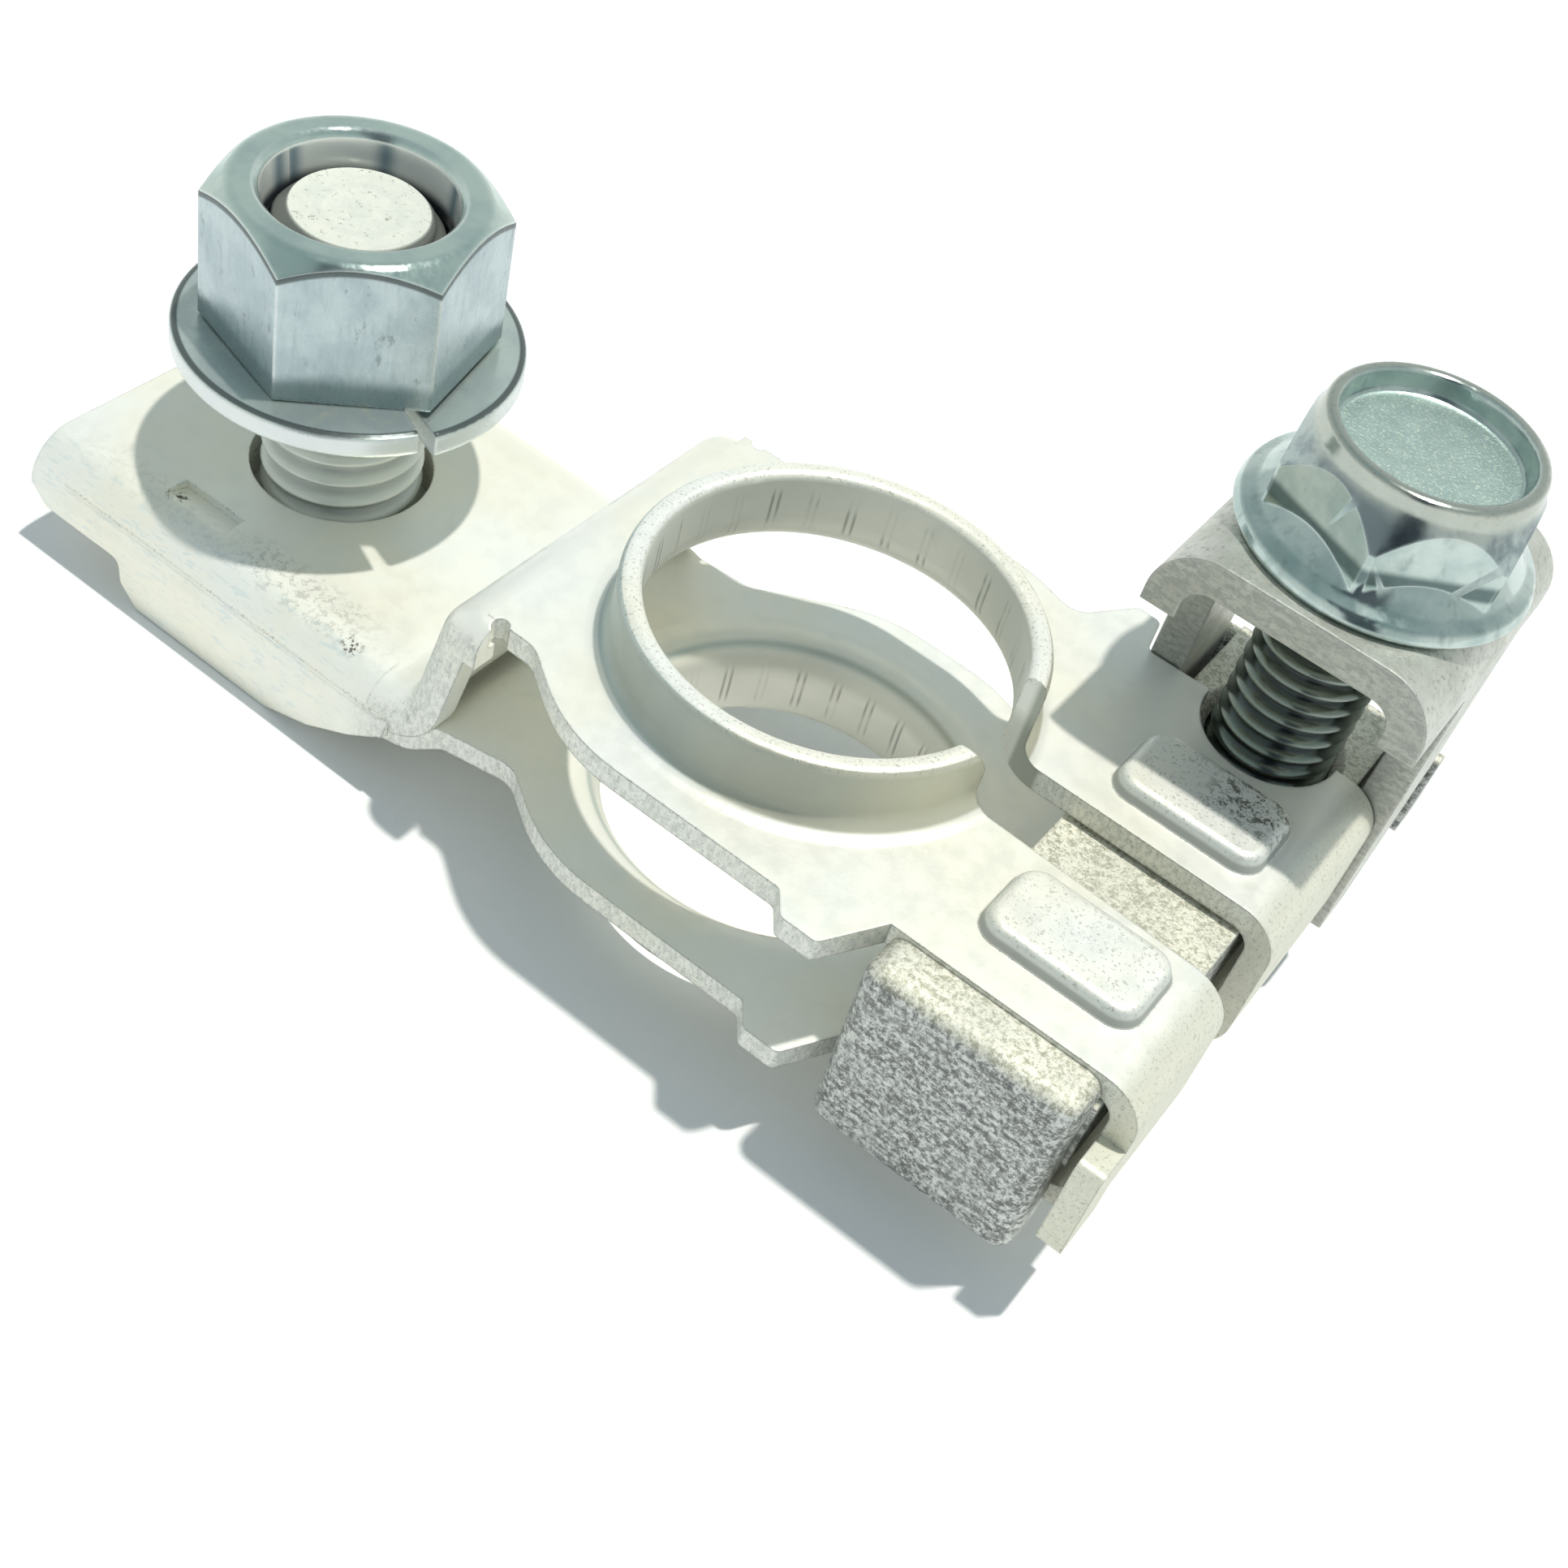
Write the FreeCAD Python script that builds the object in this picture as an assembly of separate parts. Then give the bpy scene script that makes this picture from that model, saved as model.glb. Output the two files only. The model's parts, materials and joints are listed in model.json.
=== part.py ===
import FreeCAD, Part
import math
import os

# Battery terminal clamp, tightened from above, in millimetres.
# The origin is on the axis of the battery post, at the top face of the upper plate.
# +X runs to the ends of the clamping arms, -X to the stud, +Y to the clamp bolt, +Z up.

V = FreeCAD.Vector

# Folded sheet body
sheet = 1.2
plate_space = 6.25
bend_inside = 0.9
front_arm_edge = 9.7
rear_arm_edge = 12.25
arm_end = 22.5
neck_end = -8.9
neck_front = 8.7
neck_rear = 9.5
lower_neck_rear = 8.7

# Post bore and its two turned collars
post_radius = 8.35
collar_wall = 1.05
collar_height = 3.35
collar_root = 1.0
collar_rim = 0.4
ring_front = 11.5
ring_rear = 12.5
ring_turn = 8.5

# Slot that lets the arms close on the post
slot_front = 1.72
slot_rear = 1.85
slot_flare = 0.8
slot_end_round = 1.8

# Pads pressed up out of the arms
pad_height = 0.8
pad_draft = 0.5
front_pad = (12.4, -7.85, 8.0, 5.0)
rear_pad = (12.4, 3.0, 7.9, 5.1)
pad_corner = 1.3
pad_round = 0.5

# Ears beside the plate nut's head and the bracket
front_ear = 12.6
rear_ear = 14.4
ear_left = 7.0
ear_width = 1.75
ear_corner = 0.4
end_tab_reach = 1.9
end_tab_height = 5.6

# Stud plate with its skirts and the tabs folded under the stud's head
stud_drop = 7.4
stud_plate_end = -38.35
step_foot = -14.8
step_crest = -13.2
foot_round = 1.8
crest_round = 2.1
rail_front = 9.95
rail_rear = 10.0
rail_depth = 2.1
rail_end = -10.9
rail_edge_round = 1.5
relief_radius = 0.4
stud_plate_front = 10.25
stud_plate_rear = 9.9
skirt_bend = 1.3
skirt_depth = 3.45
tab_left = -31.2
tab_right = -22.6
tab_reach = 5.8
head_space = 3.5
joggle_left = -14.2
joggle_right = -12.4
layer_gap = 0.15
tongue_end = -36.2
tongue_front = 10.05
tongue_rear = 9.7
stud_hole_radius = 4.48
stop_left = -31.7
stop_right = -27.9
stop_front = 8.0
stop_rear = 6.5
stop_depth = 0.45

# Stud, its nut and the split washer under the nut
stud_x = -28.05
stud_y = 0.15
stud_diameter = 7.9
stud_top = 7.2
stud_end_chamfer = 0.85
stud_head_side = 12.0
stud_head_thickness = 2.05
thread_clearance = 0.05
nut_flats = 12.0
nut_height = 7.35
nut_turn = 44.2
nut_top_above_stud = 1.05
nut_face_diameter = 11.5
nut_corner_angle = 40.0
nut_recess_radius = 4.4
nut_recess_lip = 0.3
nut_recess_depth = 3.0
nut_collar_wall = 0.85
nut_collar_gap = 0.06
washer_width = 3.29
washer_thickness = 1.2
washer_split = 0.7
washer_split_angle = -18.5
washer_rise = 0.35

# Plate nut: head block, bar through the arms, tapered wings behind the legs
block_left = 10.55
block_right = 20.6
block_depth = 2.3
block_bottom = 10.7
block_top = 0.25
block_round = 0.85
bar_left = 12.0
bar_right = 20.8
bar_clearance = 0.15
bar_thickness = 4.0
bar_end = 19.1
wing_reach = 2.3

# Clamp bolt
bolt_x = 16.5
bolt_y = 13.3
bolt_diameter = 5.9
bolt_length = 20.0
bolt_tip_chamfer = 0.8
flange_radius = 6.5
flange_edge = 0.75
flange_shoulder = 5.75
shoulder_rise = 1.05
flange_rise = 2.3
head_flats = 9.9
head_corners = 11.3
head_turn = 37.6
head_height = 5.7
head_rim_radius = 4.65
cup_radius = 4.12
cup_depth = 1.05
bolt_notch_radius = 3.3
bolt_notch_front = 1.2

# Saddle bracket under the bolt's flange
bracket_sheet = 1.65
leg_side_gap = 0.4
bracket_left = bar_left - leg_side_gap - bracket_sheet
bracket_right = bar_right + leg_side_gap + bracket_sheet
bracket_top = 10.7
bracket_bend = 1.1
bracket_front = 6.3
bracket_rear = 20.3
lip_bottom = 7.2
leg_front_gap = 0.1
leg_rear = 17.7
leg_bottom = 9.0
bracket_hole_radius = 3.4
bracket_hole_length = 1.6
taper_angle = 20.0
taper_top = 1.5
free_travel = 1.3
taper_spare = 0.15

# Levels worked out from the sizes above
lower_top = -(sheet + plate_space)
lower_bottom = lower_top - sheet
stud_plate_top = -stud_drop
stud_plate_bottom = stud_plate_top - sheet
tongue_top = stud_plate_bottom - layer_gap
tongue_bottom = tongue_top - sheet
tab_top = stud_plate_bottom - head_space
tab_bottom = tab_top - sheet
mid_level = lower_bottom / 2.0
bar_top = -(sheet + bar_clearance)
bar_bottom = bar_top - bar_thickness
nut_top = stud_top + nut_top_above_stud
nut_bottom = nut_top - nut_height
nut_bore = stud_diameter / 2 + thread_clearance
nut_collar = nut_bore + nut_collar_wall
washer_top = nut_bottom
washer_inner = nut_collar + nut_collar_gap
washer_outer = washer_inner + washer_width
leg_front = rear_arm_edge + leg_front_gap
taper = math.tan(math.radians(taper_angle))
wing_gap = (free_travel + taper_spare) * taper


def plan_point(u, v):
    return V(u, v, 0)


def side_point(u, v):
    return V(u, 0, v)


def cross_point(u, v):
    return V(0, u, v)


def corner(before, here, after, radius):
    """Start, middle and end of the round that replaces one corner."""
    a = (before - here).normalize()
    b = (after - here).normalize()
    half = a.getAngle(b) / 2.0
    if radius <= 0 or half > math.pi / 2 - 1e-4:
        return [here]
    back = radius / math.tan(half)
    centre = here + (a + b).normalize() * (radius / math.sin(half))
    middle = centre + (here - centre).normalize() * radius
    return [here + a * back, middle, here + b * back]


def rounded_face(points, radii, place):
    """Closed face of straight sides with a round at each corner that has a radius."""
    flat = [place(u, v) for u, v in points]
    count = len(flat)
    pieces = []
    for i in range(count):
        before = flat[i - 1]
        after = flat[(i + 1) % count]
        pieces.append(corner(V(before), V(flat[i]), V(after), radii[i]))
    edges = []
    for i in range(count):
        piece = pieces[i]
        if len(piece) == 3:
            edges.append(Part.Arc(*piece).toShape())
        start = piece[-1]
        end = pieces[(i + 1) % count][0]
        if (end - start).Length > 1e-6:
            edges.append(Part.makeLine(start, end))
    return Part.Face(Part.Wire(edges))


def strip_face(path, bends, thickness, place):
    """Section of a bent sheet: the path is one face, the sheet lies to its right."""
    inside = []
    outer = []
    inner = []
    last = len(path) - 1
    for i, (u, v) in enumerate(path):
        before = path[max(i - 1, 0)]
        after = path[min(i + 1, last)]
        into = direction(before, path[i]) if i > 0 else direction(path[i], after)
        out = direction(path[i], after) if i < last else into
        normal = (into[1] + out[1], -into[0] - out[0])
        length = math.hypot(*normal)
        normal = (normal[0] / length, normal[1] / length)
        stretch = thickness / (normal[0] * into[1] - normal[1] * into[0])
        inside.append((u + normal[0] * stretch, v + normal[1] * stretch))
        turn = into[0] * out[1] - into[1] * out[0]
        straight = abs(turn) < 1e-9
        outer.append(0 if straight else bends[i] + thickness * (turn < 0))
        inner.append(0 if straight else bends[i] + thickness * (turn > 0))
    return rounded_face(path + inside[::-1], outer + inner[::-1], place)


def direction(a, b):
    length = math.hypot(b[0] - a[0], b[1] - a[1])
    return ((b[0] - a[0]) / length, (b[1] - a[1]) / length)


def box(x0, x1, y0, y1, z0, z1):
    return Part.makeBox(x1 - x0, y1 - y0, z1 - z0, V(x0, y0, z0))


def moved(shape, x, y, z):
    copy = shape.copy()
    copy.translate(V(x, y, z))
    return copy


def hexagon(flats, height, turn, x, y, z):
    """Hexagonal prism with one corner at the given turn."""
    radius = flats / math.sqrt(3.0)
    points = []
    for k in range(7):
        angle = math.radians(turn + 60.0 * k)
        points.append(V(x + radius * math.cos(angle), y + radius * math.sin(angle), z))
    return Part.Face(Part.makePolygon(points)).extrude(V(0, 0, height))


def turned(points, radii, x, y):
    """Solid of revolution about a vertical axis from a profile of radius and height."""
    face = rounded_face(points, radii, side_point)
    return moved(face.revolve(V(0, 0, 0), V(0, 0, 1), 360), x, y, 0)


# Folded sheet body

def plate_plan(front_neck, rear_neck, low, high):
    """Plan of one plate, from its neck round the ring, ears and arms; each corner has its round."""
    ear_right = ear_left + ear_width
    front = [(-4.9, -ring_front, ring_turn), (ear_left - 0.85, -ring_front, ear_corner),
             (ear_left, -front_ear, ear_corner), (ear_right, -front_ear, ear_corner),
             (ear_right + 1.6, -front_arm_edge, 0), (arm_end + 1, -front_arm_edge, 0)]
    rear = [(arm_end + 1, rear_arm_edge, 0), (ear_right + 1.1, rear_arm_edge, ear_corner),
            (ear_right + 0.6, rear_ear, ear_corner), (ear_left + 1.1, rear_ear, ear_corner),
            (ear_left - 0.8, ring_rear - 0.9, 1.2),
            (3.2, ring_rear, ring_turn), (-3.0, ring_rear, ring_turn)]
    corners = front_neck + front + rear + rear_neck
    face = rounded_face([(x, y) for x, y, r in corners], [r for x, y, r in corners], plan_point)
    return moved(face, 0, 0, low).extrude(V(0, 0, high - low))


def plates_plan():
    """Both plates in plan: the upper one starts at the step, the lower one with its tongue."""
    tall = 2 * abs(tab_bottom)
    upper = plate_plan([(rail_end - 0.6, -neck_front, 0), (neck_end, -neck_front, 1.5)],
                       [(-8.3, neck_rear, 1.5), (rail_end - 0.6, neck_rear, 0)], mid_level, tall)
    front_neck = [(tongue_end, -tongue_front, 0), (step_foot - 1.0, -tongue_front, 0.5),
                  (step_crest + 1.2, -neck_front - 0.7, 1.5), (neck_end, -neck_front - 0.1, 1.5)]
    rear_neck = [(neck_end, lower_neck_rear, 1.5), (step_crest + 1.4, lower_neck_rear - 0.2, 1.0),
                 (step_foot - 1.0, tongue_rear, 0.5), (tongue_end, tongue_rear, 0)]
    return upper.fuse(plate_plan(front_neck, rear_neck, -tall, mid_level))


def folded_strip():
    """One sheet: upper plate, end wall, lower plate and the tongue under the stud plate."""
    path = [(rail_end - 0.6, 0), (arm_end, 0), (arm_end, lower_bottom), (joggle_right, lower_bottom),
            (joggle_left, tongue_bottom), (tongue_end, tongue_bottom)]
    face = strip_face(path, [bend_inside] * len(path), sheet, side_point)
    width = 2 * (rear_ear + 2)
    return moved(face, 0, -width / 2, 0).extrude(V(0, width, 0))


def step_layer(depth, front, rear):
    """Material within the given depth of the step's upper face."""
    path = [(step_foot - 1.8, stud_plate_top), (step_foot, stud_plate_top), (step_crest, 0), (rail_end, 0)]
    face = strip_face(path, [0, foot_round, crest_round - depth, 0], depth, side_point)
    return moved(face, 0, -front, 0).extrude(V(0, front + rear, 0))


def step():
    """Step up to the ring, with short rails that carry the skirts' bend along its edges."""
    block = step_layer(rail_depth, rail_front, rail_rear)
    surface = step_layer(sheet / 4, rail_front, rail_rear)
    long_edges = []
    for edge in block.Edges:
        middle = edge.valueAt((edge.FirstParameter + edge.LastParameter) / 2)
        at_side = middle.y < -rail_front + 1e-6 or middle.y > rail_rear - 1e-6
        if at_side and surface.isInside(middle, 1e-6, True):
            long_edges.append(edge)
    block = block.makeFillet(rail_edge_round, long_edges)
    narrow = (rail_front - sheet, rail_rear - sheet)
    hollow = step_layer(rail_depth + 0.3, *narrow).cut(step_layer(sheet, *narrow))
    return block.cut(hollow)


def reliefs():
    """Round relief cuts where the rails end at the edges of the upper plate."""
    front = V(rail_end + 0.2, -neck_front - 0.1, -sheet - 0.1)
    rear = V(rail_end + 0.2, neck_rear + 0.1, -sheet - 0.1)
    cut = Part.makeCylinder(relief_radius, sheet + 0.2, front)
    return cut.fuse(Part.makeCylinder(relief_radius, sheet + 0.2, rear))


def lug_stop():
    """Shallow wedge pressed into the stud plate beside the stud."""
    profile = [(-stop_front, stud_plate_top), (-stop_rear, stud_plate_top - stop_depth),
               (-stop_rear, stud_plate_top + 0.1), (-stop_front, stud_plate_top + 0.1)]
    face = rounded_face(profile, [0, 0, 0, 0], cross_point)
    return moved(face, stop_left, 0, 0).extrude(V(stop_right - stop_left, 0, 0))


def stud_plate():
    """Stud plate with its side skirts and the two tabs folded under the stud's head."""
    skirt_low = stud_plate_top - skirt_depth
    plain = [(-stud_plate_front, tab_bottom), (-stud_plate_front, stud_plate_top),
             (stud_plate_rear, stud_plate_top), (stud_plate_rear, tab_bottom)]
    channel = strip_face(plain, [skirt_bend] * len(plain), sheet, cross_point)
    length = step_foot - 0.4 - stud_plate_end
    channel = moved(channel, stud_plate_end, 0, 0).extrude(V(length, 0, 0))
    end = stud_plate_end
    edge = [(end - 1, skirt_low + 0.9), (end + 0.1, skirt_low + 0.9), (end + 0.9, skirt_low),
            (tab_left - 1.2, skirt_low), (tab_left - 1.1, tab_bottom + 1.1), (tab_left, tab_bottom),
            (tab_left, tab_bottom - 1), (end - 1, tab_bottom - 1)]
    tail = [(tab_right, tab_bottom - 1), (tab_right, tab_bottom), (tab_right + 2.8, tab_bottom + 0.9),
            (tab_right + 5.4, tab_bottom + 2.3), (step_foot + 0.6, stud_plate_bottom - 0.3),
            (step_foot + 0.6, tab_bottom - 1)]
    for outline, radii in ((edge, [0, 0.4, 0.4, 0.5, 0.5, 0.5, 0, 0]), (tail, [0, 0, 0.8, 0.8, 0, 0])):
        cut = moved(rounded_face(outline, radii, side_point), 0, -2 * stud_plate_front, 0)
        channel = channel.cut(cut.extrude(V(0, 4 * stud_plate_front, 0)))
    wrap = [(-stud_plate_front + tab_reach, tab_bottom)] + plain
    wrap = wrap + [(stud_plate_rear - tab_reach, tab_bottom)]
    wrapped = strip_face(wrap, [skirt_bend] * len(wrap), sheet, cross_point)
    wrapped = moved(wrapped, tab_left, 0, 0).extrude(V(tab_right - tab_left, 0, 0))
    return channel.fuse(wrapped)


def collar():
    """Collar turned up round the post bore, with the bend at its foot."""
    outer = post_radius + collar_wall
    foot = outer + collar_root
    under = foot - post_radius
    half = math.sqrt(0.5)
    low_middle = V(foot - under * half, 0, under - sheet - under * half)
    high_middle = V(foot - collar_root * half, 0, collar_root - collar_root * half)
    rim = collar_height - collar_rim
    rim_inner = V(post_radius + collar_rim, 0, collar_height)
    rim_outer = V(outer - collar_rim, 0, collar_height)
    inner_middle = V(post_radius + collar_rim * (1 - half), 0, rim + collar_rim * half)
    outer_middle = V(outer - collar_rim * (1 - half), 0, rim + collar_rim * half)
    edges = [Part.Arc(V(foot, 0, -sheet), low_middle, V(post_radius, 0, under - sheet)).toShape(),
             Part.makeLine(V(post_radius, 0, under - sheet), V(post_radius, 0, rim)),
             Part.Arc(V(post_radius, 0, rim), inner_middle, rim_inner).toShape(),
             Part.makeLine(rim_inner, rim_outer),
             Part.Arc(rim_outer, outer_middle, V(outer, 0, rim)).toShape(),
             Part.makeLine(V(outer, 0, rim), V(outer, 0, collar_root)),
             Part.Arc(V(outer, 0, collar_root), high_middle, V(foot, 0, 0)).toShape(),
             Part.makeLine(V(foot, 0, 0), V(foot, 0, -sheet))]
    ring = Part.Face(Part.Wire(edges)).revolve(V(0, 0, 0), V(0, 0, 1), 360)
    return ring.cut(collar_gap())


def collar_gap():
    """Rounded gap that the collar leaves between its two ends."""
    high = collar_height + 1
    top = slot_end_round * 0.9
    points = [(-slot_front, -sheet - 1), (-slot_front, collar_height - top), (-slot_front - top, high),
              (slot_rear + top, high), (slot_rear, collar_height - top), (slot_rear, -sheet - 1)]
    radii = [0, slot_end_round, 0, 0, slot_end_round, 0]
    face = rounded_face(points, radii, cross_point)
    return face.extrude(V(arm_end, 0, 0))


def mirrored_low(shape):
    """Same form on the lower plate, turned downwards."""
    return shape.mirror(V(0, 0, mid_level), V(0, 0, 1))


def arm_slot():
    """Slot between the arms, a little wider towards their ends."""
    far = arm_end + 1
    points = [(0, -slot_front), (far, -slot_front - slot_flare), (far, slot_rear), (0, slot_rear)]
    face = rounded_face(points, [0, 0, 0, 0], plan_point)
    tall = 2 * abs(tab_bottom)
    return moved(face, 0, 0, -tall).extrude(V(0, 0, 2 * tall))


def pad(place, grow, base, height):
    """Rounded rectangular pad with drafted sides and a rounded upper edge."""
    x, y, length, width = place
    def outline(inset, z):
        points = [(x + inset, y + inset), (x + length - inset, y + inset),
                  (x + length - inset, y + width - inset), (x + inset, y + width - inset)]
        return moved(rounded_face(points, [pad_corner - inset * 0.5] * 4, plan_point), 0, 0, z).OuterWire
    low = outline(-grow, base)
    high = outline(pad_draft - grow, base + height)
    solid = Part.makeLoft([low, high], True)
    upper = [edge for edge in solid.Edges
             if min(corner.Point.z for corner in edge.Vertexes) > base + height - 0.01]
    return solid.makeFillet(pad_round, upper)


def bolt_notch():
    """Open notch in the rear edges of both plates, round the clamp bolt."""
    centre_y = bolt_y - bolt_notch_front
    tall = 2 * abs(tab_bottom)
    hole = Part.makeCylinder(bolt_notch_radius, 2 * tall, V(bolt_x, centre_y, -tall))
    way = box(bolt_x - bolt_notch_radius, bolt_x + bolt_notch_radius,
              centre_y, rear_arm_edge + 3, -tall, tall)
    return hole.fuse(way)


def end_tab():
    """Forward tab of the end wall beside the plate nut's head."""
    reach = front_arm_edge + end_tab_reach
    top = lower_bottom + end_tab_height
    tab = box(arm_end - sheet, arm_end, -reach, -front_arm_edge + 1, lower_bottom, top)
    across = [edge for edge in tab.Edges
              if max(corner.Point.y for corner in edge.Vertexes) < -reach + 0.1
              and abs(edge.Vertexes[0].Point.x - edge.Vertexes[1].Point.x) > 0.1]
    return tab.makeFillet(0.5, across)


def terminal_body():
    tall = 2 * abs(tab_bottom)
    body = folded_strip().common(plates_plan())
    body = body.fuse([end_tab(), step()]).cut(reliefs())
    outer = post_radius + collar_wall + collar_root
    body = body.cut(Part.makeCylinder(outer, 2 * tall, V(0, 0, -tall)))
    upper = collar()
    body = body.fuse([upper, mirrored_low(upper), stud_plate()])
    body = body.cut(arm_slot())
    body = body.cut(bolt_notch())
    for place in (front_pad, rear_pad):
        raised = pad(place, 0, -sheet / 2, sheet / 2 + pad_height)
        hollow = pad(place, -pad_draft, -sheet - 0.01, pad_height + 0.01)
        body = body.fuse(raised).cut(hollow)
    hole = Part.makeCylinder(stud_hole_radius, 2 * sheet + 1, V(stud_x, stud_y, tongue_bottom - 0.3))
    body = body.cut(hole).cut(lug_stop())
    return body.removeSplitter()


# Stud, nut and washer

def stud_bolt():
    radius = stud_diameter / 2
    head_top = tongue_bottom - 0.05
    end = radius - stud_end_chamfer
    shank = turned([(0, head_top - 0.5), (radius, head_top - 0.5), (radius, stud_top - stud_end_chamfer),
                    (end, stud_top), (0, stud_top)], [0, 0, 0.15, 0.15, 0], stud_x, stud_y)
    half = stud_head_side / 2
    head = box(stud_x - half, stud_x + half, stud_y - half, stud_y + half,
               head_top - stud_head_thickness, head_top)
    upright = [edge for edge in head.Edges
               if abs(edge.Vertexes[0].Point.z - edge.Vertexes[1].Point.z) > 0.1]
    head = head.makeFillet(1.0, upright)
    return head.fuse(shank).removeSplitter()


def stud_nut():
    hexagonal = hexagon(nut_flats, nut_height, nut_turn, stud_x, stud_y, nut_bottom)
    corner_radius = nut_flats / math.sqrt(3.0)
    face = nut_face_diameter / 2
    fall = (corner_radius - face + 0.2) * math.tan(math.radians(nut_corner_angle))
    lathe = turned([(0, nut_bottom), (corner_radius + 0.2, nut_bottom),
                    (corner_radius + 0.2, nut_top - fall), (face, nut_top), (0, nut_top)],
                   [0, 0, 0, 0.6, 0], stud_x, stud_y)
    nut = hexagonal.common(lathe)
    collar_low = nut_bottom - washer_thickness
    nut = nut.fuse(Part.makeCylinder(nut_collar, washer_thickness + 0.5, V(stud_x, stud_y, collar_low)))
    floor = nut_top - nut_recess_depth
    lip = nut_recess_lip
    recess = turned([(0, floor), (nut_bore, floor), (nut_recess_radius - 0.15, floor + 0.5),
                     (nut_recess_radius, nut_top - lip), (nut_recess_radius + lip + 0.1, nut_top + 0.1),
                     (0, nut_top + 0.1)],
                    [0, 0, 0.3, 0.3, 0, 0], stud_x, stud_y)
    bore = Part.makeCylinder(nut_bore, nut_height + 4, V(stud_x, stud_y, collar_low - 1))
    return nut.cut(recess).cut(bore).removeSplitter()


def stud_washer():
    """Split washer: a flat section that climbs a little on its one turn."""
    top = washer_top - washer_rise
    low = top - washer_thickness
    middle = (washer_inner + washer_outer) / 2
    turn = 1 - washer_split / (2 * math.pi * middle)
    section = rounded_face([(washer_inner, low), (washer_outer, low),
                            (washer_outer, top), (washer_inner, top)], [0, 0.25, 0.25, 0], side_point)
    path = Part.Wire(Part.makeHelix(washer_rise, washer_rise * turn, middle).Edges)
    ring = path.makePipeShell([section.OuterWire], True, True)
    ring.rotate(V(0, 0, 0), V(0, 0, 1), washer_split_angle)
    return moved(ring, stud_x, stud_y, 0)


# Plate nut, bracket and clamp bolt

def plate_nut():
    block_rear = -front_arm_edge
    block = box(block_left, block_right, block_rear - block_depth, block_rear, -block_bottom, -block_top)
    outer = [edge for edge in block.Edges
             if min(edge.Vertexes[0].Point.y, edge.Vertexes[1].Point.y) < block_rear - 0.1]
    block = block.makeFillet(block_round, outer)
    bar = box(bar_left, bar_right, block_rear - 0.5, bar_end, bar_bottom, bar_top)
    nut = block.fuse(bar).fuse(wings())
    hole = Part.makeCylinder(bolt_diameter / 2 + thread_clearance, bar_thickness + 2,
                             V(bolt_x, bolt_y, bar_bottom - 1))
    rim = Part.makeCone(bolt_diameter / 2 + 0.6, bolt_diameter / 2, 0.6,
                        V(bolt_x, bolt_y, bar_top), V(0, 0, -1))
    return nut.cut(hole).cut(rim).removeSplitter()


def wings():
    """Tapered wings either side of the bar, behind the bracket's legs."""
    top_y = leg_rear + wing_gap + taper * (bar_top + taper_top)
    low_y = top_y - bar_thickness * taper
    points = [(top_y, bar_top), (bar_end, bar_top), (bar_end, bar_bottom), (low_y, bar_bottom)]
    face = rounded_face(points, [0.3, 0.4, 0.4, 0.3], cross_point)
    start = bar_left - wing_reach
    return moved(face, start, 0, 0).extrude(V(bar_right - bar_left + 2 * wing_reach, 0, 0))


def bracket():
    """Saddle of bent sheet: a top under the flange and two legs behind the rear arm."""
    path = [(bracket_left, -leg_bottom), (bracket_left, bracket_top),
            (bracket_right, bracket_top), (bracket_right, -leg_bottom)]
    face = strip_face(path, [bracket_bend] * len(path), bracket_sheet, side_point)
    saddle = moved(face, 0, bracket_front, 0).extrude(V(0, bracket_rear - bracket_front, 0))
    saddle = saddle.common(leg_outline())
    hole = Part.makeCylinder(bracket_hole_radius, 2 * bracket_sheet + 1,
                             V(bolt_x, bolt_y - bracket_hole_length / 2, bracket_top - bracket_sheet - 1))
    far = moved(hole, 0, bracket_hole_length, 0)
    way = box(bolt_x - bracket_hole_radius, bolt_x + bracket_hole_radius, bolt_y - bracket_hole_length / 2,
              bolt_y + bracket_hole_length / 2, bracket_top - bracket_sheet - 1, bracket_top + 1)
    return saddle.cut(hole.fuse([far, way])).removeSplitter()


def leg_outline():
    """Side view of the bracket: short lips in front and behind, legs with a tapered rear edge."""
    taper_end = leg_rear - taper * (leg_bottom - taper_top)
    points = [(leg_front, -leg_bottom), (taper_end, -leg_bottom), (leg_rear, -taper_top),
              (leg_rear, lip_bottom), (bracket_rear, lip_bottom), (bracket_rear, bracket_top + 1),
              (bracket_front, bracket_top + 1), (bracket_front, lip_bottom), (leg_front, lip_bottom)]
    radii = [0.5, 0.5, 0.6, 0.8, 0, 0, 0, 0, 0.8]
    face = rounded_face(points, radii, cross_point)
    return face.extrude(V(2 * bracket_right, 0, 0))


def clamp_bolt():
    radius = bolt_diameter / 2
    seat = bracket_top
    top = seat + head_height
    tip = seat - bolt_length
    shank = turned([(0, tip), (radius - bolt_tip_chamfer, tip), (radius, tip + bolt_tip_chamfer),
                    (radius, seat + 0.5), (0, seat + 0.5)], [0, 0, 0, 0, 0], bolt_x, bolt_y)
    flange = turned([(0, seat), (flange_radius - 0.2, seat), (flange_radius, seat + 0.3),
                     (flange_radius - 0.15, seat + flange_edge), (flange_shoulder, seat + shoulder_rise),
                     (head_flats / 2 - 0.2, seat + flange_rise), (0, seat + flange_rise)],
                    [0, 0.15, 0.15, 0.3, 0.5, 0, 0], bolt_x, bolt_y)
    rim = head_rim_radius
    corner_radius = head_corners / 2
    lathe = turned([(0, seat + 0.3), (corner_radius, seat + 0.3), (corner_radius, top - 2.65),
                    (rim + 0.15, top - 0.8), (rim, top), (cup_radius, top),
                    (cup_radius - 0.1, top - cup_depth), (0, top - cup_depth)],
                   [0, 0, 0.6, 1.4, 0.25, 0.15, 0.3, 0], bolt_x, bolt_y)
    head = hexagon(head_flats, head_height, head_turn, bolt_x, bolt_y, seat + 0.3)
    return shank.fuse([flange, head.common(lathe)]).removeSplitter()


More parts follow.
